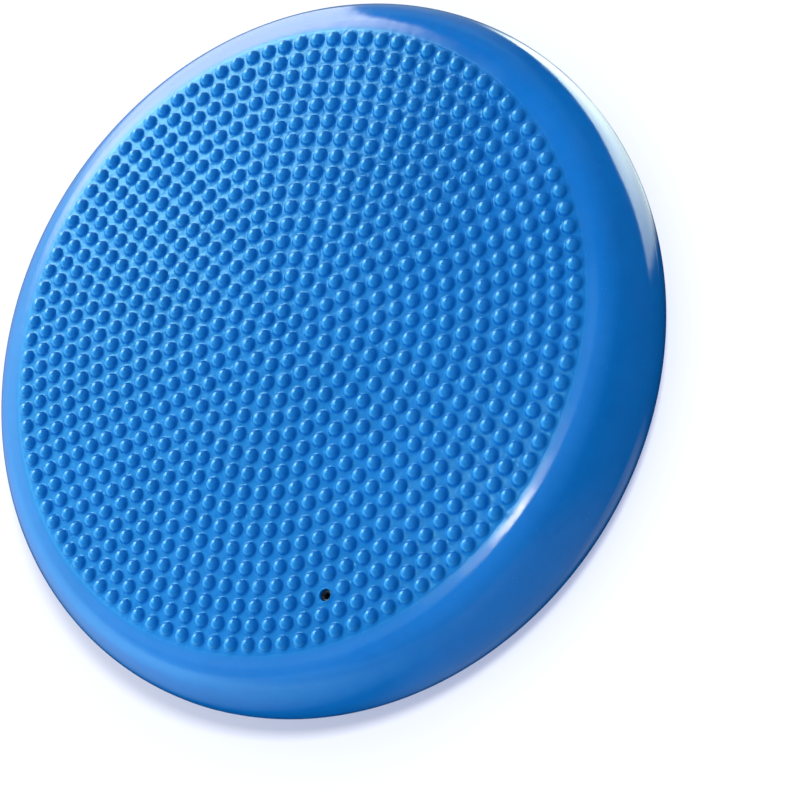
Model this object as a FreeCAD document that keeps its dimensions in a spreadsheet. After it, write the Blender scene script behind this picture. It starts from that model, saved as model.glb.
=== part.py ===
import FreeCAD, Part
import Sketcher
import math
import os

# Wobble cushion: an air-filled round disc of soft vinyl, lying flat on the floor.
# Millimetres.  Origin at the centre of the rest plane, +Z up.  A stud of every
# ring stands on +X; the inflation valve is in the upper face near -Y.
#
# The skin is one moulding.  It is carried here as five zones, because the upper
# face, the mid-side band and the lower face tilt against each other while the
# two side walls between them flex.  The valve core is a separate rubber plug.

doc = FreeCAD.newDocument("wobble_cushion")
Vector = FreeCAD.Vector

# ----------------------------------------------------- driving dimensions ----
SIZES = [
    # alias, value, meaning
    ("side_outer_radius", 164.85, "skin radius at the equator, without the parting line"),
    ("side_radius", 35.9, "radius of the rounded side in section"),
    ("shoulder_radius", 13.0, "radius of the tighter shoulder between side and face"),
    ("dome_radius", 2500.0, "radius of the very shallow dome of both faces"),
    ("face_edge_radius", 147.7, "where the dome runs into the shoulder"),
    ("skin_thickness", 3.2, "wall of the moulding"),
    ("flat_radius", 100.0, "part of the lower face that lies flat"),
    ("dot_height", 1.0, "grip dots of the lower face"),
    ("dot_radius", 4.2, "grip dots of the lower face"),
    ("dot_pitch", 16.3, "ring spacing of the grip dots"),
    ("dot_rings", 8, "rings of grip dots round the middle one"),
    ("dot_root", 0.5, "how far a dot reaches into the skin"),
    ("band_half_height", 2.0, "mid-side band above and below the equator"),
    ("seam_radius", 165.0, "crest of the mould parting line"),
    ("seam_half_height", 0.3, "mould parting line above and below the equator"),
    ("seam_root", 0.5, "how far the parting line reaches into the skin"),
    ("stud_pitch", 8.15, "ring spacing of the studs"),
    ("stud_rings", 17, "rings of studs round the middle one"),
    ("stud_radius", 3.3, "half width and height of a stud"),
    ("stud_sink", 0.25, "how far a stud's base lies under the dome"),
    ("valve_ring", 15, "the ring of studs in which the valve takes one place"),
    ("valve_angle", 264.0, "position of the valve about Z, degrees"),
    ("mouth_radius", 2.65, "hole in the skin"),
    ("mouth_depth", 3.0, "length of that hole"),
    ("mouth_overrun", 2.0, "how far the cut for that hole starts above the surface"),
    ("pocket_radius", 4.6, "widening that holds the core's collar"),
    ("pocket_depth", 6.0, "bottom of that widening under the surface"),
    ("boss_radius", 7.0, "moulded boss round the core"),
    ("boss_depth", 14.0, "bottom of the boss under the surface"),
    ("boss_top_depth", 1.0, "top of the boss under the surface, within the skin"),
    ("tail_bore_radius", 2.9, "hole below the widening"),
    ("bore_overrun", 1.0, "how far the tail bore and needle cuts pass the end face"),
    ("core_recess", 1.4, "top of the core under the surface"),
    ("core_head_radius", 2.6, "visible end of the core"),
    ("core_collar_radius", 4.55, "collar of the core"),
    ("core_gap", 0.05, "clearance above and below the collar"),
    ("core_overlap", 0.5, "height above the pocket floor where head and tail meet"),
    ("core_tail_radius", 2.85, "tail of the core"),
    ("core_depth", 16.0, "end of the core under the surface"),
    ("needle_radius", 1.0, "lead-in for the inflation needle"),
    ("needle_depth", 7.0, "length of the lead-in under the core's top"),
    ("funnel_radius", 1.7, "rim of the small funnel at the top of the lead-in"),
    ("funnel_depth", 0.8, "depth of that funnel"),
]
SIZE_VALUES = {alias: number for alias, number, _ in SIZES}

sheet = doc.addObject("Spreadsheet::Sheet", "sizes")
for column, heading in zip("ABC", ("size", "value", "meaning")):
    sheet.set(column + "1", heading)
for row, (alias, number, meaning) in enumerate(SIZES, start=2):
    sheet.set("A%d" % row, alias)
    sheet.set("B%d" % row, repr(number))
    sheet.set("C%d" % row, meaning)
    sheet.setAlias("B%d" % row, alias)
doc.recompute()


class Quantity:
    """A number together with the spreadsheet expression that gives it."""

    def __init__(self, value, text):
        self.value = float(value)
        self.text = text

    @staticmethod
    def of(x):
        return x if isinstance(x, Quantity) else Quantity(x, "%.9g" % x)

    def __add__(self, other):
        other = Quantity.of(other)
        return Quantity(self.value + other.value, "(%s + %s)" % (self.text, other.text))

    def __sub__(self, other):
        other = Quantity.of(other)
        return Quantity(self.value - other.value, "(%s - %s)" % (self.text, other.text))

    def __mul__(self, other):
        other = Quantity.of(other)
        return Quantity(self.value * other.value, "(%s * %s)" % (self.text, other.text))

    def __truediv__(self, other):
        other = Quantity.of(other)
        return Quantity(self.value / other.value, "(%s / %s)" % (self.text, other.text))


def size(alias):
    return Quantity(SIZE_VALUES[alias], "sizes." + alias)


def root(q):
    return Quantity(math.sqrt(q.value), "sqrt(%s)" % q.text)


def cos_degrees(q):
    return Quantity(math.cos(math.radians(q.value)), "cos(%s)" % q.text)


def sin_degrees(q):
    return Quantity(math.sin(math.radians(q.value)), "sin(%s)" % q.text)


# ------------------------------------------------------- section geometry ----
ON_AXIS = Quantity.of(0)
ONE = Quantity.of(1)

side_radius = size("side_radius")
shoulder_radius = size("shoulder_radius")
dome_radius = size("dome_radius")
edge_radius = size("face_edge_radius")
wall = size("skin_thickness")
flat_radius = size("flat_radius")
dot_height = size("dot_height")

# direction of the dome's normal at the face edge
edge_sin = edge_radius / dome_radius
edge_cos = root(ONE - edge_sin * edge_sin)
inner_edge_radius = edge_radius - wall * edge_sin

# arc centres of side and shoulder; rises are heights above the equator
side_centre = size("side_outer_radius") - side_radius
shoulder_centre = (dome_radius - shoulder_radius) * edge_sin
centre_distance = side_radius - shoulder_radius
centre_offset = shoulder_centre - side_centre
shoulder_rise = root(centre_distance * centre_distance - centre_offset * centre_offset)
edge_rise = shoulder_rise + shoulder_radius * edge_cos

# unit vector along the line of centres, where shoulder and side arcs meet
join_cos = centre_offset / centre_distance
join_sin = shoulder_rise / centre_distance

band_sin = size("band_half_height") / side_radius
band_cos = root(ONE - band_sin * band_sin)

# the lower dome is cut off flat inside flat_radius, one dot height above the floor
dome_squared = dome_radius * dome_radius
flat_drop = (root(dome_squared - flat_radius * flat_radius)
             - root(dome_squared - edge_radius * edge_radius))
lower_edge_z = dot_height + flat_drop
equator_z = lower_edge_z + edge_rise
upper_edge_z = equator_z + edge_rise
upper_dome_centre_z = upper_edge_z - dome_radius * edge_cos
lower_dome_centre_z = lower_edge_z + dome_radius * edge_cos


def upper_dome_z(radius):
    return upper_dome_centre_z + root(dome_squared - radius * radius)


def from_equator(rise, above):
    return equator_z + rise if above else equator_z - rise


def side_corner(radius, direction_cos, direction_sin, above):
    """A corner on an arc about the side centre, above or below the equator."""
    return (side_centre + radius * direction_cos,
            from_equator(radius * direction_sin, above))


# -------------------------------------------------------- modelling tools ----
def origin_plane(body, role):
    return [f for f in body.Origin.OriginFeatures if f.Role == role][0]


def new_body(name):
    return doc.addObject("PartDesign::Body", name)


def arc_between(start, end, radius, bulge):
    """The shorter arc from start to end, bulging to the left (+1) or right (-1)."""
    chord = end - start
    left = Vector(-chord.y, chord.x, 0).normalize()
    centre_shift = bulge * math.sqrt(radius ** 2 - chord.Length ** 2 / 4)
    centre = (start + end) * 0.5 - left * centre_shift
    # sketch arcs run anticlockwise
    first, last = (end, start) if bulge > 0 else (start, end)
    first_angle = math.atan2(first.y - centre.y, first.x - centre.x)
    last_angle = math.atan2(last.y - centre.y, last.x - centre.x)
    if last_angle < first_angle:
        last_angle += 2 * math.pi
    circle = Part.Circle(centre, Vector(0, 0, 1), radius)
    return Part.ArcOfCircle(circle, first_angle, last_angle)


def section(body, name, corners, sides):
    """A closed section in the XZ plane, its corners and radii bound to the sheet.

    corners: (x, z) quantities in order.  sides[i]: None for a straight side from
    corner i to the next, or (radius, bulge) for an arc as in arc_between.
    """
    sketch = body.newObject("Sketcher::SketchObject", name)
    sketch.AttachmentSupport = [(origin_plane(body, "XZ_Plane"), "")]
    sketch.MapMode = "FlatFace"

    def constrain(kind, *references):
        """Add a constraint whose last reference is the quantity that drives it."""
        quantity = references[-1]
        index = sketch.addConstraint(
            Sketcher.Constraint(kind, *references[:-1], quantity.value))
        sketch.setExpression("Constraints[%d]" % index, quantity.text)

    count = len(corners)
    points = [Vector(x.value, z.value, 0) for x, z in corners]
    ends = []  # sketch point numbers at the first and second corner of each side
    for i, arc in enumerate(sides):
        start, end = points[i], points[(i + 1) % count]
        if arc is None:
            sketch.addGeometry(Part.LineSegment(start, end), False)
            ends.append((1, 2))
        else:
            radius, bulge = arc
            sketch.addGeometry(arc_between(start, end, radius.value, bulge), False)
            ends.append((2, 1) if bulge > 0 else (1, 2))
    for i in range(count):
        following = (i + 1) % count
        sketch.addConstraint(Sketcher.Constraint(
            "Coincident", i, ends[i][1], following, ends[following][0]))
    for i, (x, z) in enumerate(corners):
        if abs(x.value) < 1e-9:
            sketch.addConstraint(Sketcher.Constraint("PointOnObject", i, ends[i][0], -2))
        else:
            constrain("DistanceX", -1, 1, i, ends[i][0], x)
        constrain("DistanceY", -1, 1, i, ends[i][0], z)
    for i, arc in enumerate(sides):
        if arc is not None:
            constrain("Radius", i, arc[0])
    doc.recompute()

    # the solver must leave every corner where it was drawn
    for i, point in enumerate(points):
        side = sketch.Geometry[i]
        solved = side.StartPoint if ends[i][0] == 1 else side.EndPoint
        if math.hypot(solved.x - point.x, solved.y - point.y) > 1e-4:
            raise RuntimeError("%s: corner %d moved to %s" % (name, i, solved))
    return sketch


def revolve(body, name, sketch):
    ring = body.newObject("PartDesign::Revolution", name)
    ring.Profile = sketch
    ring.ReferenceAxis = (sketch, ["V_Axis"])
    ring.Angle = 360
    ring.Refine = False
    body.Tip = ring
    doc.recompute()


def ring_places(pitch, rings, height_at):
    """(x, y, z) of a middle bump and its rings, each with six more than the last."""
    places = [(0.0, 0.0, height_at(0.0))]
    for ring in range(1, int(rings.value) + 1):
        radius = pitch.value * ring
        z = height_at(radius)
        for i in range(6 * ring):
            angle = math.radians(360.0 * i / (6 * ring))
            places.append((radius * math.cos(angle), radius * math.sin(angle), z))
    return places


def scattered(name, places, bump):
    """Many equal moulded bumps as one object."""
    bumps = []
    for place in places:
        copy = bump.copy()
        copy.Placement = FreeCAD.Placement(Vector(*place), FreeCAD.Rotation())
        bumps.append(copy)
    feature = doc.addObject("Part::Feature", name)
    feature.Shape = Part.makeCompound(bumps)
    return feature


def joined(name, shell, bumps):
    """The shell of a face and its bumps, fused into the one moulding they are."""
    fusion = doc.addObject("Part::MultiFuse", name)
    fusion.Shapes = [shell, bumps]
    fusion.Refine = False
    doc.recompute()
    return fusion


# --------------------------------------------------------- valve position ----
valve_ring_radius = size("stud_pitch") * size("valve_ring")
valve_x = valve_ring_radius * cos_degrees(size("valve_angle"))
valve_y = valve_ring_radius * sin_degrees(size("valve_angle"))
valve_z = upper_dome_z(valve_ring_radius)


def at_valve(body, kind, name, base_depth, **dimensions):
    """A primitive on the valve's axis, its base at base_depth under the surface."""
    feature = body.newObject("PartDesign::" + kind, name)
    feature.AttachmentSupport = [(origin_plane(body, "XY_Plane"), "")]
    feature.MapMode = "FlatFace"
    for prop, quantity in dimensions.items():
        setattr(feature, prop, quantity.value)
        feature.setExpression(prop, quantity.text)
    base = (valve_x, valve_y, valve_z - base_depth)
    feature.AttachmentOffset = FreeCAD.Placement(
        Vector(*[q.value for q in base]), FreeCAD.Rotation())
    for axis, quantity in zip("xyz", base):
        feature.setExpression("AttachmentOffset.Base." + axis, quantity.text)
    feature.Refine = False
    body.Tip = feature
    doc.recompute()


# ------------------------------------------------------------- upper face ----
def make_studded_face():
    shell = new_body("studded_face_shell")
    sketch = section(
        shell, "studded_face_section",
        [
            (ON_AXIS, upper_dome_centre_z + dome_radius),
            (edge_radius, upper_edge_z),
            (inner_edge_radius, upper_edge_z - wall * edge_cos),
            (ON_AXIS, upper_dome_centre_z + dome_radius - wall),
        ],
        [(dome_radius, +1), None, (dome_radius - wall, -1), None],
    )
    revolve(shell, "studded_face_revolve", sketch)

    # valve seat: a boss under the skin, bored in three steps
    boss_depth = size("boss_depth")
    mouth_depth = size("mouth_depth")
    pocket_depth = size("pocket_depth")
    overrun = size("bore_overrun")
    at_valve(shell, "AdditiveCylinder", "valve_boss", boss_depth,
             Radius=size("boss_radius"), Height=boss_depth - size("boss_top_depth"))
    at_valve(shell, "SubtractiveCylinder", "valve_mouth", mouth_depth,
             Radius=size("mouth_radius"), Height=mouth_depth + size("mouth_overrun"))
    at_valve(shell, "SubtractiveCylinder", "valve_pocket", pocket_depth,
             Radius=size("pocket_radius"), Height=pocket_depth - mouth_depth)
    at_valve(shell, "SubtractiveCylinder", "valve_tail_bore", boss_depth + overrun,
             Radius=size("tail_bore_radius"), Height=boss_depth - pocket_depth + overrun)

    # the valve takes the place of one stud
    pitch = size("stud_pitch")
    places = [
        (x, y, z)
        for x, y, z in ring_places(
            pitch, size("stud_rings"),
            lambda radius: upper_dome_z(radius).value - size("stud_sink").value)
        if math.hypot(x - valve_x.value, y - valve_y.value) > pitch.value / 2
    ]
    half_ball = Part.makeSphere(
        size("stud_radius").value, Vector(0, 0, 0), Vector(0, 0, 1), 0, 90, 360)
    return joined("studded_face", shell, scattered("studs", places, half_ball))


# ------------------------------------------------------------- valve core ----
def make_valve_core():
    core = new_body("valve_core")
    pocket_depth = size("pocket_depth")
    recess = size("core_recess")
    gap = size("core_gap")
    overlap = size("core_overlap")
    at_valve(core, "AdditiveCylinder", "core_collar", pocket_depth - gap,
             Radius=size("core_collar_radius"),
             Height=pocket_depth - size("mouth_depth") - gap * 2.0)
    at_valve(core, "AdditiveCylinder", "core_head", pocket_depth - overlap,
             Radius=size("core_head_radius"), Height=pocket_depth - recess - overlap)
    at_valve(core, "AdditiveCylinder", "core_tail", size("core_depth"),
             Radius=size("core_tail_radius"),
             Height=size("core_depth") - pocket_depth + overlap)
    at_valve(core, "SubtractiveCylinder", "needle_lead_in", recess + size("needle_depth"),
             Radius=size("needle_radius"),
             Height=size("needle_depth") + size("bore_overrun"))
    at_valve(core, "SubtractiveCone", "needle_funnel", recess + size("funnel_depth"),
             Radius1=size("needle_radius"), Radius2=size("funnel_radius"),
             Height=size("funnel_depth"))
    return core


# ------------------------------------------------------------- side walls ----
def make_side_wall(name, above):
    """The shoulder and side between a face and the equator band."""
    bulge = 1 if above else -1
    body = new_body(name)
    sketch = section(
        body, name + "_section",
        [
            (edge_radius, from_equator(edge_rise, above)),
            side_corner(side_radius, join_cos, join_sin, above),
            side_corner(side_radius, band_cos, band_sin, above),
            side_corner(side_radius - wall, band_cos, band_sin, above),
            side_corner(side_radius - wall, join_cos, join_sin, above),
            (inner_edge_radius, from_equator(edge_rise - wall * edge_cos, above)),
        ],
        [
            (shoulder_radius, bulge),
            (side_radius, bulge),
            None,
            (side_radius - wall, -bulge),
            (shoulder_radius - wall, -bulge),
            None,
        ],
    )
    revolve(body, name + "_shell", sketch)
    return body


# ----------------------------------------------------------- equator band ----
def make_equator_band():
    band = new_body("equator_band")
    sketch = section(
        band, "equator_band_section",
        [
            side_corner(side_radius, band_cos, band_sin, True),
            side_corner(side_radius, band_cos, band_sin, False),
            side_corner(side_radius - wall, band_cos, band_sin, False),
            side_corner(side_radius - wall, band_cos, band_sin, True),
        ],
        [(side_radius, +1), None, (side_radius - wall, -1), None],
    )
    revolve(band, "equator_band_shell", sketch)

    # the parting line tapers to half its height at the crest
    root_radius = size("side_outer_radius") - size("seam_root")
    crest_radius = size("seam_radius")
    half_height = size("seam_half_height")
    sketch = section(
        band, "parting_line_section",
        [
            (root_radius, equator_z + half_height),
            (crest_radius, equator_z + half_height * 0.5),
            (crest_radius, equator_z - half_height * 0.5),
            (root_radius, equator_z - half_height),
        ],
        [None, None, None, None],
    )
    revolve(band, "parting_line", sketch)
    return band


# ------------------------------------------------------------- lower face ----
def dot_base_z(radius):
    """Dots stand on the floor under the flat and follow the dome outside it."""
    if radius < flat_radius.value:
        return 0.0
    dome_z = lower_dome_centre_z.value - math.sqrt(dome_radius.value ** 2 - radius ** 2)
    return dome_z - dot_height.value


def make_lower_face():
    shell = new_body("lower_face_shell")
    sketch = section(
        shell, "lower_face_section",
        [
            (ON_AXIS, dot_height),
            (flat_radius, dot_height),
            (edge_radius, lower_edge_z),
            (inner_edge_radius, lower_edge_z + wall * edge_cos),
            (flat_radius, dot_height + wall),
            (ON_AXIS, dot_height + wall),
        ],
        [None, (dome_radius, -1), None, (dome_radius - wall, +1), None, None],
    )
    revolve(shell, "lower_face_revolve", sketch)
    places = ring_places(size("dot_pitch"), size("dot_rings"), dot_base_z)
    dot = Part.makeCylinder(
        size("dot_radius").value, (dot_height + size("dot_root")).value)
    return joined("lower_face", shell, scattered("dots", places, dot))


# ----------------------------------------------------------------- output ----
pieces = [
    make_studded_face(),
    make_valve_core(),
    make_side_wall("upper_side_wall", above=True),
    make_equator_band(),
    make_side_wall("lower_side_wall", above=False),
    make_lower_face(),
]
doc.recompute()
for obj in doc.Objects:
    bad = [state for state in obj.State if "Invalid" in state or "Error" in state]
    if bad:
        raise RuntimeError("%s: %s" % (obj.Label, bad))
for piece in pieces:
    shape = piece.Shape
    if shape.isNull() or not shape.isValid() or len(shape.Solids) != 1:
        raise RuntimeError("%s: not one valid solid" % piece.Label)

os.makedirs("parts", exist_ok=True)
for piece in pieces:
    piece.Shape.exportStep("parts/%s.step" % piece.Label)
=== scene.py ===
# A round air cushion, 330 mm across, lying flat on z = 0 with its axis on Z.  The domed upper face
# carries rings of studs and a valve near its -Y edge; the lower face carries rings of flat dots.
# Lengths are in mm and become metres when a mesh is made; materials and studio are in metres.
import bpy
import math
import numpy as np
from mathutils import Matrix, Vector, geometry


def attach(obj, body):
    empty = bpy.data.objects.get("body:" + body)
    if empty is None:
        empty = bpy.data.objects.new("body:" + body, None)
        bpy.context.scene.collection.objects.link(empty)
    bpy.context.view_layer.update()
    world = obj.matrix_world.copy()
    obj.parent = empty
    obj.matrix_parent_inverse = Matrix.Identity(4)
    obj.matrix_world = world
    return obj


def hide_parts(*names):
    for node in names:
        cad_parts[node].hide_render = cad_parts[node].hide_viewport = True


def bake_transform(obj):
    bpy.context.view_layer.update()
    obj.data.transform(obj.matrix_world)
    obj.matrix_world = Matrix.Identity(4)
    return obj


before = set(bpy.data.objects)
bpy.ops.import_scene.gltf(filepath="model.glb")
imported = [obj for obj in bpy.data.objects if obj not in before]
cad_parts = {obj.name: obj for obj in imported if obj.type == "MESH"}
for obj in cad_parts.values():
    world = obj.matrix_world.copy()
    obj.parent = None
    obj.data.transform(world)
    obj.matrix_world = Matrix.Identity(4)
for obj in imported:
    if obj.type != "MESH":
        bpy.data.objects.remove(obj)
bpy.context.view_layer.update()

MM = 0.001
rng = np.random.default_rng(7)

# ---- body: in section a side arc, a tighter shoulder arc and a shallow dome, tangent in turn
RADIUS = 164.85
SIDE_R = 35.9
SHOULDER_R = 13.0
DOME_R = 2500.0
EDGE_R = 147.7               # where the dome meets the shoulder
WALL = 3.2
FLAT_R = 100.0               # flat middle of the lower face

# ---- studs, dots and valve
STUD_PITCH = 8.15
STUD_RINGS = 17
STUD_H = 3.06
STUD_FOOT_R = 3.95           # outline left open in the face for a stud
STUD_SEGMENTS = 20
DOT_PITCH = 16.3
DOT_RINGS = 8
DOT_H = 1.0
DOT_FOOT_R = 4.75
DOT_SEGMENTS = 28
VALVE_ANGLE = math.radians(264.0)
VALVE_R = STUD_PITCH * 15    # the valve takes the place of a stud in ring 15
VALVE_MOUTH_R = 3.35
PLUG_SEGMENTS = 48

RIM_SEGMENTS = 720
RIM_RELIEF = 0.5
STUD_FIELD_R = 143.6         # outer limit of the studded mesh
DOT_FIELD_R = 143.0
TURN_STEP = 0.13             # each bump is turned this much further than the last, radians

# ---- worked out from the above
SIDE_X = RADIUS - SIDE_R
EDGE_SIN = EDGE_R / DOME_R
EDGE_COS = math.sqrt(1 - EDGE_SIN ** 2)
EDGE_ANGLE = math.pi / 2 - math.asin(EDGE_SIN)
SHOULDER_X = (DOME_R - SHOULDER_R) * EDGE_SIN
SHOULDER_DZ = math.sqrt((SIDE_R - SHOULDER_R) ** 2 - (SHOULDER_X - SIDE_X) ** 2)
JOIN_ANGLE = math.atan2(SHOULDER_DZ, SHOULDER_X - SIDE_X)    # where side and shoulder meet
EDGE_DZ = SHOULDER_DZ + SHOULDER_R * EDGE_COS
LOW_EDGE_Z = (DOT_H + math.sqrt(DOME_R ** 2 - FLAT_R ** 2)
              - math.sqrt(DOME_R ** 2 - EDGE_R ** 2))
EQUATOR_Z = LOW_EDGE_Z + EDGE_DZ
TOP_EDGE_Z = EQUATOR_Z + EDGE_DZ
DOME_CENTRE_Z = TOP_EDGE_Z - DOME_R * EDGE_COS
LOW_CENTRE_Z = LOW_EDGE_Z + DOME_R * EDGE_COS
VALVE = np.array((VALVE_R * math.cos(VALVE_ANGLE), VALVE_R * math.sin(VALVE_ANGLE)))


def dome_z(r):
    return DOME_CENTRE_Z + np.sqrt(DOME_R ** 2 - r ** 2)


def under_z(r):
    curved = LOW_CENTRE_Z - np.sqrt(np.maximum(DOME_R ** 2 - r ** 2, 0))
    return np.where(r <= FLAT_R, DOT_H, curved)


VALVE_Z = float(dome_z(VALVE_R))


# ---------------------------------------------------------------- mesh building
def reach(xy):
    """Distance of points from the axis."""
    return np.hypot(xy[..., 0], xy[..., 1])


def circle(count, turn=0.0):
    angle = np.arange(count) * 2 * math.pi / count + turn
    return np.c_[np.cos(angle), np.sin(angle)]


class Builder:
    """Collects vertices and faces; a row is an array of vertex numbers."""

    def __init__(self):
        self.points, self.relief, self.faces = [], [], []
        self.count = 0

    def add(self, xy, z, relief=0.0):
        """Adds a row; relief says how far up a bump it is, from 0 to 1."""
        xy = np.atleast_2d(xy)
        size = len(xy)
        self.points.append(np.c_[xy, np.full(size, z)])
        self.relief.append(np.full(size, relief))
        self.count += size
        return np.arange(self.count - size, self.count)

    def turned(self, profile, count=RIM_SEGMENTS, centre=(0, 0), base=0.0, turn=0.0, relief=0.0):
        """Rows round a vertical axis for (r, z) points, z measured from base."""
        unit = circle(count, turn)
        return [self.add(unit * r + centre, base + z, relief) for r, z in profile]

    def skin(self, rows, flip=False):
        """Quads between neighbouring closed rows."""
        for near, far in zip(rows[:-1], rows[1:]):
            for i in range(len(near)):
                j = (i + 1) % len(near)
                quad = (near[i], near[j], far[j], far[i])
                self.faces.append(quad[::-1] if flip else quad)

    def cap(self, row, xy, z, relief=0.0, flip=False):
        """A fan from a row to a new vertex."""
        tip = self.add(xy, z, relief)[0]
        for i in range(len(row)):
            triangle = (row[i], row[(i + 1) % len(row)], tip)
            self.faces.append(triangle[::-1] if flip else triangle)

    def fill(self, loops, rim, loose, flip):
        """Delaunay over closed rows and loose points; every loop but the rim stays a hole."""
        ids = np.concatenate([*loops, loose])
        xy = np.concatenate(self.points)[ids, :2]
        hole = np.full(len(ids), -1)
        edges, start = [], 0
        for number, row in enumerate(loops):
            size = len(row)
            edges += [(start + i, start + (i + 1) % size) for i in range(size)]
            if row is not rim:
                hole[start:start + size] = number
            start += size
        result = geometry.delaunay_2d_cdt([Vector(p) for p in xy], edges, [], 0, 1e-7)
        verts, _, triangles, origins = result[:4]
        if len(verts) != len(ids):
            raise RuntimeError("two outlines meet")
        for triangle in triangles:
            corners = [origins[i][0] for i in triangle]
            if hole[corners[0]] >= 0 and len(set(hole[corners])) == 1:
                continue
            p, q, s = xy[corners]
            area = (q[0] - p[0]) * (s[1] - p[1]) - (q[1] - p[1]) * (s[0] - p[0])
            if abs(area) < 1e-9:
                continue
            if (area > 0) == flip:
                corners = corners[::-1]
            self.faces.append(tuple(ids[corners]))

    def object(self, name, sharp):
        """Makes the object, smooth but for edges over sharp degrees."""
        mesh = bpy.data.meshes.new(name)
        points = np.concatenate(self.points) * MM
        faces = [tuple(int(i) for i in face) for face in self.faces]
        mesh.from_pydata([tuple(p) for p in points], [], faces)
        relief = mesh.attributes.new("relief", "FLOAT", "POINT")
        relief.data.foreach_set("value", np.concatenate(self.relief).astype(np.float32))
        mesh.polygons.foreach_set("use_smooth", [True] * len(mesh.polygons))
        mesh.set_sharp_from_angle(angle=math.radians(sharp))
        mesh.update()
        return linked(name, mesh)


def linked(name, data):
    ob = bpy.data.objects.new(name, data)
    bpy.context.scene.collection.objects.link(ob)
    return ob


def ringed_places(pitch, rings):
    """A centre point and rings of 6, 12, 18... points round it."""
    places = [(0.0, 0.0)]
    for ring in range(1, rings + 1):
        for i in range(6 * ring):
            angle = 2 * math.pi * i / (6 * ring)
            places.append((pitch * ring * math.cos(angle), pitch * ring * math.sin(angle)))
    return np.array(places)


def loose_points(centres, keep_off, radius, step, seed):
    """Jittered grid points that keep clear of every centre."""
    jitter = np.random.default_rng(seed)
    count = int(2 * radius / step)
    ticks = np.linspace(-radius, radius, count)
    x, y = np.meshgrid(ticks, ticks)
    points = np.c_[x.ravel(), y.ravel()]
    points = points + jitter.uniform(-0.3 * step, 0.3 * step, (count * count, 2))
    points = points[reach(points) < radius]
    clear = np.ones(len(points), bool)
    for i in range(0, len(centres), 64):               # in batches, to spare memory
        gaps = reach(points[:, None] - centres[None, i:i + 64])
        clear &= (gaps > keep_off).all(1)
    return points[clear]


def open_face(mesh, centres, radii, segments, rim, height, loose, flip=False):
    """A slightly uneven face with a round outline left open at each centre; returns those."""
    outlines = []
    for i, centre in enumerate(centres):
        xy = circle(segments, TURN_STEP * i) * radii[i] + centre
        outlines.append(mesh.add(xy, height(reach(xy))))
    z = height(reach(loose)) + rng.normal(0, 0.035, len(loose))
    mesh.fill(outlines + [rim], rim, mesh.add(loose, z), flip)
    return outlines


def rim_profile(sign, inset, side_steps, shoulder_steps):
    """(r, z) from the equator to the face's edge; sign is 1 above the equator, -1 below."""
    side, shoulder = SIDE_R - inset, SHOULDER_R - inset
    points = [(SIDE_X + side * math.cos(t), EQUATOR_Z + sign * side * math.sin(t))
              for t in np.linspace(0, JOIN_ANGLE, side_steps)]
    points += [(SHOULDER_X + shoulder * math.cos(t),
                EQUATOR_Z + sign * (SHOULDER_DZ + shoulder * math.sin(t)))
               for t in np.linspace(JOIN_ANGLE, EDGE_ANGLE, shoulder_steps)[1:]]
    return points


def close_inside(mesh, equator, sign, height, holes=()):
    """The hidden side of a skin, from its equator row to a coarse face round any holes."""
    flip = sign > 0
    rows = mesh.turned(rim_profile(sign, WALL, 10, 6), relief=RIM_RELIEF)
    mesh.skin([equator] + rows, flip)
    points = np.concatenate(mesh.points)
    centres = np.array([points[row, :2].mean(0) for row in holes])
    loose = loose_points(centres, keep_off=9.5, radius=EDGE_R - 5, step=9.0, seed=5)
    mesh.fill([rows[-1], *holes], rows[-1], mesh.add(loose, height(reach(loose))), flip)


# ---------------------------------------------------------------- pieces
# section of a stud, (r, height): a small fillet, a steep flank and a round top
STUD = [(3.62, 0.05), (3.42, 0.17), (3.29, 0.42), (3.20, 0.80), (3.05, 1.27),
        (2.79, 1.76), (2.40, 2.24), (1.87, 2.64), (1.25, 2.89), (0.60, 3.02)]
# section of a dot, (r, share of its depth)
DOT = [(4.42, 0.06), (4.24, 0.30), (4.18, 0.68), (4.02, 0.90), (3.66, 0.99), (2.0, 1.0)]
# valve mouth, (r, z from the face): raised lip, hole, flared pocket and the boss behind
MOUTH = [(3.15, 0.10), (2.95, 0.22), (2.78, 0.20), (2.66, 0.05), (2.62, -0.3), (2.65, -2.9),
         (4.50, -3.0), (4.60, -3.1), (4.60, -5.9), (4.50, -6.0), (2.95, -6.0), (2.9, -6.1),
         (2.9, -13.6), (3.3, -14.0), (6.6, -14.0), (7.0, -13.6), (7.0, -3.9), (7.4, -3.45),
         (8.0, -WALL - 0.02)]
# valve plug, (r, z from the face): bore, rounded top, flange and stem
PLUG = [(1.0, -8.4), (1.0, -2.3), (1.12, -2.05), (1.62, -1.52), (1.80, -1.42), (2.05, -1.39),
        (2.32, -1.42), (2.50, -1.53), (2.58, -1.72), (2.58, -3.04), (4.40, -3.07), (4.54, -3.20),
        (4.54, -5.80), (4.40, -5.93), (2.84, -5.95), (2.84, -15.6), (2.50, -15.95)]
PLUG_BORE_END, PLUG_STEM_END = -8.6, -16.0
# upper half of the parting line's section, (r, z from the equator), and its crest
PARTING = [(164.30, 0.75), (164.83, 0.62), (164.87, 0.42), (164.90, 0.18)]
PARTING_CREST_R = 164.905


def add_stud(mesh, outline, centre, turn):
    """One stud square to the dome, with a little random size and lean."""
    unit = circle(STUD_SEGMENTS, turn)
    width = 1 + rng.normal(0, 0.012)
    tallness = 1 + rng.normal(0, 0.02)
    lean = centre / DOME_R + rng.normal(0, 0.012, 2)
    rows = [outline]
    for r, h in STUD:
        xy = unit * r * width + (centre + lean * h)
        rows.append(mesh.add(xy, dome_z(reach(xy)) + h * tallness, h / STUD_H))
    mesh.skin(rows)
    tip_z = dome_z(reach(centre)) + STUD_H * tallness
    mesh.cap(rows[-1], centre + lean * STUD_H, tip_z, relief=1.0)


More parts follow.
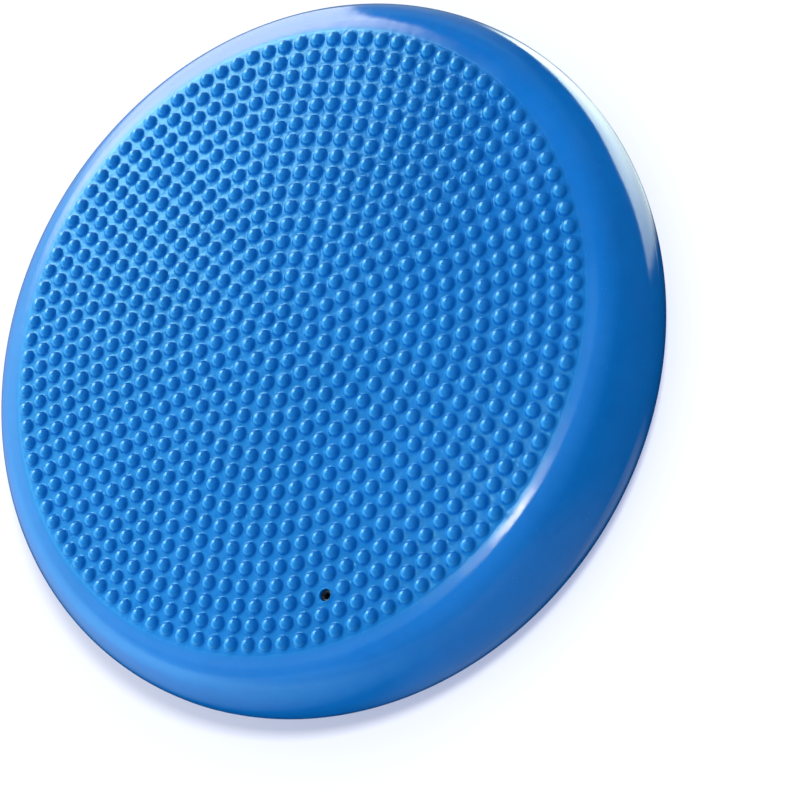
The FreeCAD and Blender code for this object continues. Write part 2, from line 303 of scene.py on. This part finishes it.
def upper_skin():
    mesh = Builder()
    profile = [(r, dome_z(r)) for r in (STUD_FIELD_R, 145.6)] + rim_profile(1, 0, 18, 12)[::-1]
    rim = mesh.turned(profile, relief=RIM_RELIEF)
    mesh.skin(rim, flip=True)

    studs = ringed_places(STUD_PITCH, STUD_RINGS)
    studs = studs[reach(studs - VALVE) > STUD_PITCH / 2]
    centres = np.vstack([studs, VALVE])
    radii = [STUD_FOOT_R] * len(studs) + [VALVE_MOUTH_R]
    loose = loose_points(centres, keep_off=STUD_FOOT_R + 0.32, radius=STUD_FIELD_R - 0.9,
                         step=1.25, seed=11)
    outlines = open_face(mesh, centres, radii, STUD_SEGMENTS, rim[0], dome_z, loose)
    for i, centre in enumerate(studs):
        add_stud(mesh, outlines[i], centre, TURN_STEP * i)

    mouth = mesh.turned(MOUTH, STUD_SEGMENTS, VALVE, VALVE_Z, turn=TURN_STEP * len(studs))
    mesh.skin([outlines[-1]] + mouth)
    close_inside(mesh, rim[-1], 1, lambda r: dome_z(r) - WALL, holes=[mouth[-1]])
    return mesh.object("skin_upper", sharp=50)


def add_dot(mesh, outline, centre, turn):
    """One dot, whose end is level even where the face curves."""
    unit = circle(DOT_SEGMENTS, turn)
    middle_z = under_z(reach(centre))
    rows = [outline]
    for r, share in DOT:
        xy = unit * r + centre
        z = under_z(reach(xy)) * (1 - share) + middle_z * share - share * DOT_H
        rows.append(mesh.add(xy, z, share))
    mesh.skin(rows, flip=True)
    mesh.cap(rows[-1], centre, middle_z - DOT_H, relief=1.0, flip=True)


def lower_skin():
    mesh = Builder()
    profile = rim_profile(-1, 0, 18, 12) + [(DOT_FIELD_R, under_z(DOT_FIELD_R))]
    rim = mesh.turned(profile, relief=RIM_RELIEF)
    mesh.skin(rim, flip=True)
    dots = ringed_places(DOT_PITCH, DOT_RINGS)
    loose = loose_points(dots, keep_off=5.6, radius=DOT_FIELD_R - 2, step=2.4, seed=12)
    radii = [DOT_FOOT_R] * len(dots)
    outlines = open_face(mesh, dots, radii, DOT_SEGMENTS, rim[-1], under_z, loose, flip=True)
    for i, centre in enumerate(dots):
        add_dot(mesh, outlines[i], centre, TURN_STEP * i)
    close_inside(mesh, rim[0], -1, lambda r: under_z(r) + WALL)
    return mesh.object("skin_lower", sharp=50)


def parting_ring():
    """The mould's parting line, a low ridge round the equator."""
    mesh = Builder()
    section = PARTING + [(PARTING_CREST_R, 0.0)] + [(r, -z) for r, z in PARTING[::-1]]
    rows = mesh.turned(section, base=EQUATOR_Z, relief=RIM_RELIEF)
    mesh.skin(rows + rows[:1], flip=True)
    return mesh.object("parting_line", sharp=60)


def plug():
    mesh = Builder()
    rows = mesh.turned(PLUG, PLUG_SEGMENTS, VALVE, VALVE_Z)
    mesh.skin(rows)
    mesh.cap(rows[0], VALVE, VALVE_Z + PLUG_BORE_END, flip=True)
    mesh.cap(rows[-1], VALVE, VALVE_Z + PLUG_STEM_END)
    return mesh.object("valve_plug", sharp=50)


skin_upper = upper_skin()
skin_lower = lower_skin()
parting_line = parting_ring()
valve_plug = plug()


# ---------------------------------------------------------------- node trees
class Value:
    """A node's output; arithmetic on it makes Math nodes."""

    def __init__(self, net, socket):
        self.net, self.socket = net, socket

    def __add__(self, other):
        return self.net.math("ADD", self, other)

    def __radd__(self, other):
        return self.net.math("ADD", other, self)

    def __sub__(self, other):
        return self.net.math("SUBTRACT", self, other)

    def __rsub__(self, other):
        return self.net.math("SUBTRACT", other, self)

    def __mul__(self, other):
        return self.net.math("MULTIPLY", self, other)

    def dot(self, vector):
        return self.net.value("VectorMath", {0: self, 1: vector}, "Value", operation="DOT_PRODUCT")

    def ramp(self, span, to=(0.0, 1.0), smooth=True):
        """Goes from to[0] at span[0] to to[1] at span[1], and stays level beyond."""
        inputs = {"Value": self, "From Min": span[0], "From Max": span[1],
                  "To Min": to[0], "To Max": to[1]}
        return self.net.value("MapRange", inputs, "Result", clamp=True,
                              interpolation_type="SMOOTHSTEP" if smooth else "LINEAR")

    def noise(self, scale, detail=2.0, roughness=0.5, distortion=0.0):
        inputs = {"Vector": self, "Scale": scale, "Detail": detail,
                  "Roughness": roughness, "Distortion": distortion}
        return self.net.value("TexNoise", inputs, "Fac")

    def bump(self, strength, distance, normal=None):
        inputs = {"Strength": strength, "Distance": distance, "Height": self}
        if normal is not None:
            inputs["Normal"] = normal
        return self.net.value("Bump", inputs, "Normal")


class Net:
    """Makes and wires the nodes of an emptied tree."""

    def __init__(self, tree):
        self.tree = tree
        tree.nodes.clear()

    def node(self, kind, inputs, **props):
        made = self.tree.nodes.new("ShaderNode" + kind)
        for name, setting in props.items():
            setattr(made, name, setting)
        for key, given in inputs.items():
            if isinstance(given, Value):
                self.tree.links.new(given.socket, made.inputs[key])
            else:
                made.inputs[key].default_value = given
        return made

    def value(self, kind, inputs, output=0, **props):
        return Value(self, self.node(kind, inputs, **props).outputs[output])

    def math(self, operation, first, second=0.0):
        return self.value("Math", {0: first, 1: second}, operation=operation)

    def mix(self, share, first, second):
        return self.value("Mix", {0: share, 6: first, 7: second}, 2, data_type="RGBA")

    def scaled(self, colour, level):
        return self.value("VectorMath", {0: colour, "Scale": level}, operation="SCALE")

    def joined(self, first, second):
        return self.value("VectorMath", {0: first, 1: second}, operation="ADD")


def new_material(name):
    mat = bpy.data.materials.new(name)
    mat.use_nodes = True
    return mat, Net(mat.node_tree)


# ---------------------------------------------------------------- materials
def vinyl():
    """Glossy blue vinyl, cloudy and dusty, with rubbed stud tops."""
    mat, net = new_material("skin_vinyl_blue")
    place = net.value("TexCoord", {}, "Object")
    height = net.value("Attribute", {}, "Fac", attribute_name="relief")
    x, y = (Value(net, out) for out in net.node("SeparateXYZ", {0: place}).outputs[:2])
    off_axis = net.math("SQRT", x * x + y * y)
    rim = off_axis.ramp(span=(0.1425, 0.1460))
    stud = height.ramp(span=(0.02, 0.35)) * off_axis.ramp(span=(0.1440, 0.1430))
    # highlights are bluish on the face and studs, white on the rim
    tint = net.mix(stud, (0.31, 1.0, 1.0, 1), (0.34, 1.0, 1.0, 1))
    tint = net.mix(rim, tint, (1, 1, 1, 1))

    cloud = place.noise(scale=14.0, detail=4.0, roughness=0.55)
    mottle = place.noise(scale=160.0, detail=3.0, roughness=0.6)
    grain = place.noise(scale=1500.0)
    smear = place.noise(scale=38.0, detail=6.0, roughness=0.62, distortion=1.2)

    # colour: two blues in clouds, then a paler one in mottles
    base = net.mix(cloud.ramp(span=(0.3, 0.7)), (0.0022, 0.132, 0.490, 1), (0.0034, 0.150, 0.540, 1))
    base = net.mix(mottle.ramp(span=(0.35, 0.75)) * 0.22, base, (0.005, 0.18, 0.62, 1))
    # dust between the studs, rubbed stud tops and scattered specks
    dust = height.ramp(span=(0.35, 0.0)) * smear.ramp(span=(0.45, 0.75), to=(0.0, 0.08))
    base = net.mix(dust, base, (0.06, 0.30, 0.70, 1))
    worn = height.ramp(span=(0.80, 1.0)) * cloud.ramp(span=(0.35, 0.65), to=(0.03, 0.12))
    base = net.mix(worn, base, (0.022, 0.23, 0.68, 1))
    cell = net.value("TexVoronoi", {"Vector": place, "Scale": 420.0}, "Distance", feature="F1")
    patches = place.noise(scale=90.0, detail=1.0)
    speck = cell.ramp(span=(0.11, 0.07)) * patches.ramp(span=(0.52, 0.66))
    base = net.mix(speck * 0.35, base, (0.08, 0.38, 0.82, 1))

    # smears set the roughness; the rim is glossier, studs and worn tops duller
    rough = smear.ramp(span=(0.3, 0.8), to=(0.15, 0.21)) - rim * 0.055
    rough = rough + stud * 0.05 + worn * 0.5
    rough = rough + grain.ramp(span=(0.3, 0.7), to=(-0.015, 0.02))

    # bumps from coarse to fine, then wrinkles low on the relief and the specks
    normal = place.noise(scale=45.0).bump(strength=0.30, distance=0.0005)
    normal = mottle.bump(strength=0.25, distance=0.00012, normal=normal)
    normal = grain.bump(strength=0.22, distance=0.00003, normal=normal)
    wrinkle = place.noise(scale=330.0, detail=3.0, roughness=0.65) * height.ramp(span=(0.3, 0.02))
    normal = wrinkle.bump(strength=0.45, distance=0.00035, normal=normal)
    normal = speck.bump(strength=0.4, distance=0.00006, normal=normal)
    shader = net.value("BsdfPrincipled", {
        "Base Color": base, "Roughness": rough, "Normal": normal, "IOR": 1.50,
        "Specular Tint": tint,
        "Specular IOR Level": stud.ramp(span=(0.0, 1.0), to=(0.5, 0.85), smooth=False)})
    net.node("OutputMaterial", {0: shader})
    return mat


def rubber():
    """Near-black rubber with a fine mottle."""
    mat, net = new_material("valve_rubber_black")
    place = net.value("TexCoord", {}, "Object")
    mottle = place.noise(scale=700.0, detail=3.0, roughness=0.6)
    shader = net.value("BsdfPrincipled", {
        "Base Color": net.mix(mottle.ramp(span=(0.3, 0.7)),
                              (0.006, 0.006, 0.007, 1), (0.016, 0.016, 0.018, 1)),
        "Roughness": mottle.ramp(span=(0.3, 0.7), to=(0.20, 0.34)),
        "Normal": place.noise(scale=1600.0).bump(strength=0.25, distance=0.00005)})
    net.node("OutputMaterial", {0: shader})
    return mat


VINYL, RUBBER = vinyl(), rubber()
for ob in (skin_upper, skin_lower, parting_line):
    ob.data.materials.append(VINYL)
valve_plug.data.materials.append(RUBBER)
for name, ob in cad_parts.items():
    ob.data.materials.clear()
    ob.data.materials.append(RUBBER if name == "valve_core" else VINYL)

# ---------------------------------------------------------------- what rides what
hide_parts("studded_face", "upper_side_wall")
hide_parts("lower_face", "lower_side_wall")
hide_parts("equator_band")
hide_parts("valve_core")
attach(valve_plug, "deck")
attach(parting_line, "mid_side")
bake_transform(skin_upper)
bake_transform(skin_lower)

# ---------------------------------------------------------------- studio
# the camera's axes: to its right, up, and from the scene towards it
RIGHT = Vector((0.846949, -0.254165, -0.466987))
UP = Vector((0.412363, 0.868457, 0.275208))
NEAR = Vector((0.335610, -0.425656, 0.840347))
EYE = Vector((0.360353, -0.456624, 0.851531))
LIGHT_AIM = Vector((0, 0, 0.045))
FLOOR_HALF = 9
FLOOR_Z = -0.0002


def floor_material():
    """Pale grey seen from above, clear from below."""
    mat, net = new_material("pale_floor")
    place = net.value("TexCoord", {}, "Object")
    grey = place.noise(scale=3.0, detail=3.0).ramp(span=(0.3, 0.7), to=(0.97, 1.0))
    seen = net.value("LightPath", {}, "Is Camera Ray")
    shade = grey * seen.ramp(span=(0, 1), to=(0.70, 1.0), smooth=False)
    diffuse = net.value("BsdfDiffuse", {
        "Color": net.mix(shade, (0, 0, 0, 1), (0.44, 0.44, 0.44, 1))})
    # other rays see a glow only under the cushion, so the lower face isn't black
    x, y = place.dot(Vector((1, 0, 0))), place.dot(Vector((0, 1, 0)))
    under = (x * x + y * y).ramp(span=(0.0262, 0.0234), to=(0.0, 0.55))
    lit = seen * 0.34 + (1.0 - seen) * under
    glow = net.value("Emission", {"Color": (0.80, 0.90, 1.25, 1), "Strength": grey * lit})
    both = net.value("AddShader", {0: diffuse, 1: glow})
    clear = net.value("BsdfTransparent", {})
    below = net.value("NewGeometry", {}, "Backfacing")
    net.node("OutputMaterial", {0: net.value("MixShader", {0: below, 1: both, 2: clear})})
    return mat


def add_floor():
    mesh = bpy.data.meshes.new("floor")
    corners = [(x * FLOOR_HALF, y * FLOOR_HALF, 0) for x, y in ((-1, -1), (1, -1), (1, 1), (-1, 1))]
    mesh.from_pydata(corners, [], [(0, 1, 2, 3)])
    ob = linked("floor", mesh)
    ob.location.z = FLOOR_Z
    mesh.materials.append(floor_material())
    ob.visible_glossy = False
    ob.visible_shadow = False
    return ob


def mirrored_studio(net, direction, right, up, near):
    """White walls and dark gaps by direction, as glossy rays see them."""
    # a big white wall at upper left, bounded by two slanting edges
    low_edge = up - net.math("MAXIMUM", near.ramp(span=(0.18, 0.0), to=(0.46, 0.545)),
                             near * 1.2 + 0.21)
    far_edge = right + 0.495 + near * 0.516
    wall = (far_edge.ramp(span=(-0.002, -0.045)) * low_edge.ramp(span=(-0.06, 0.08))
            * near.ramp(span=(0.37, 0.21))
            * near.ramp(span=(0.20, -0.70), to=(10.5, 2.4), smooth=False))
    # pale surroundings on the left and below, fainter to the right, with a dimmer gap
    glow = ((right - near * 0.5).ramp(span=(0.15, -1.0), to=(0.0, 1.64), smooth=False)
            * up.ramp(span=(-0.30, -0.80), to=(1.0, 0.75))
            * near.ramp(span=(0.12, 0.52), to=(1.0, 0.36))
            * up.ramp(span=(0.62, 0.50)) * near.ramp(span=(0.58, 0.70), to=(1.0, 0.35)))
    gap = (up.ramp(span=(0.30, 0.10)) * up.ramp(span=(-0.42, -0.18))
           * near.ramp(span=(0.15, 0.32)) * near.ramp(span=(0.75, 0.60)))
    glow = glow * (1.0 - gap * 0.40)
    # small patches: one at the left, then lower right, low far right and high on the far side
    spot = (up.ramp(span=(0.26, 0.38)) * up.ramp(span=(0.66, 0.54))
            * near.ramp(span=(-0.18, 0.02)) * near.ramp(span=(0.36, 0.22))
            * right.ramp(span=(-0.60, -0.75)))
    glow = glow + spot * 0.25
    low_right = up.ramp(span=(-0.30, -0.65)) * right.ramp(span=(0.0, 0.30), to=(0.0, 0.25))
    low_far = (near.ramp(span=(-0.45, -0.65)) * up.ramp(span=(-0.12, -0.25))
               * right.ramp(span=(0.40, 0.60), to=(0.0, 0.3)) * up.ramp(span=(-0.55, -0.40)))
    top_far = (right.ramp(span=(0.35, 0.0)) * up.ramp(span=(0.20, 0.50))
               * near.ramp(span=(0.05, -0.30), to=(0.08, 0.32)) * near.ramp(span=(0.35, 0.15)))
    # a white panel at upper right, far away, mirrored only at a grazing angle
    near_side = net.math("MINIMUM", right * 0.95 - 0.96, -0.30) - near
    low_side = up - (right * 0.25 + 0.07)
    panel = (near.ramp(span=(-0.975, -0.90)) * near_side.ramp(span=(-0.012, 0.022))
             * low_side.ramp(span=(-0.03, 0.05)) * right.ramp(span=(0.10, 0.25))
             * up.ramp(span=(0.28, 0.60), to=(1.9, 4.9)))
    # a thin, bright lamp overhead with a faint trail
    off = direction.dot(RIGHT * 0.492 + UP * 0.870) + 0.016
    lamp = (net.math("ABSOLUTE", off).ramp(span=(0.026, 0.004))
            * near.ramp(span=(0.556, 0.572)) * near.ramp(span=(0.610, 0.584)) * 62.0)
    trail = (net.math("ABSOLUTE", off - 0.035).ramp(span=(0.07, 0.0))
             * near.ramp(span=(0.552, 0.572)) * near.ramp(span=(0.66, 0.59)) * 1.4)
    strip = (lamp + trail) * right.ramp(span=(-0.05, -0.15))

    # the glow and the high far patch are blue-green, less so far away; the rest is near white
    hue = net.mix(near.ramp(span=(-0.10, -0.55)), (1.0, 2.05, 2.15, 1), (1.0, 1.30, 1.30, 1))
    tinted = net.scaled(hue, glow + top_far)
    plain = net.scaled((1.0, 1.0, 0.90), wall + low_right + low_far + strip)
    return net.joined(net.joined(tinted, plain), net.scaled((0.90, 1.03, 0.86), panel))


def add_world():
    world = bpy.data.worlds.new("studio")
    bpy.context.scene.world = world
    world.use_nodes = True
    net = Net(world.node_tree)
    direction = net.value("TexCoord", {}, "Generated")
    right, up, near = (direction.dot(axis) for axis in (RIGHT, UP, NEAR))
    mirrored = mirrored_studio(net, direction, right, up, near)
    # matt surfaces see soft light, stronger from the left, above and below
    soft = 0.50 + up * up * 1.05 - right * 0.58
    soft = soft + up.ramp(span=(-0.1, -1.0), to=(0.0, 0.55))
    soft = soft + up.ramp(span=(0.2, 1.0), to=(0.0, 0.30))
    soft = net.math("MAXIMUM", soft, 0.03)
    glossy = net.value("LightPath", {}, "Is Glossy Ray")
    colour = net.mix(glossy, net.scaled((1, 1, 1), soft), mirrored)
    net.node("OutputWorld", {0: net.value("Background", {"Color": colour})})
    world.cycles.sampling_method = "NONE"


def softbox(name, bearing, distance, side, power, floor, on_floor):
    """A square lamp, bearing given along the camera's axes; lights the floor alone or all else."""
    light = bpy.data.lights.new(name, "AREA")
    light.shape = "RECTANGLE"
    light.size = light.size_y = side
    light.energy = power
    ob = linked(name, light)
    x, y, z = bearing
    ob.location = LIGHT_AIM + (RIGHT * x + UP * y + NEAR * z).normalized() * distance
    ob.rotation_mode = "QUATERNION"
    ob.rotation_quaternion = (LIGHT_AIM - ob.location).to_track_quat("-Z", "Y")
    ob.visible_glossy = False
    receivers = bpy.data.collections.new(name + "_lights")
    receivers.objects.link(floor)
    ob.light_linking.receiver_collection = receivers
    if not on_floor:
        receivers.collection_objects[0].light_linking.link_state = "EXCLUDE"


def add_camera():
    cam = linked("camera", bpy.data.cameras.new("camera"))
    cam.data.sensor_width = 36.0
    cam.data.lens = 101.08
    cam.matrix_world = Matrix.Translation(EYE) @ Matrix((RIGHT, UP, NEAR)).transposed().to_4x4()
    cam.data.clip_start, cam.data.clip_end = 0.01, 60
    bpy.context.scene.camera = cam


floor = add_floor()
add_world()
softbox("key", bearing=(-0.86, -0.05, 0.48), distance=1.0, side=0.40, power=2.9,
        floor=floor, on_floor=False)
softbox("over", bearing=(0.015, 0.246, 0.969), distance=1.5, side=0.22, power=24.0,
        floor=floor, on_floor=True)
add_camera()
bpy.context.scene.view_settings.view_transform = "Standard"
bpy.context.scene.view_settings.look = "None"
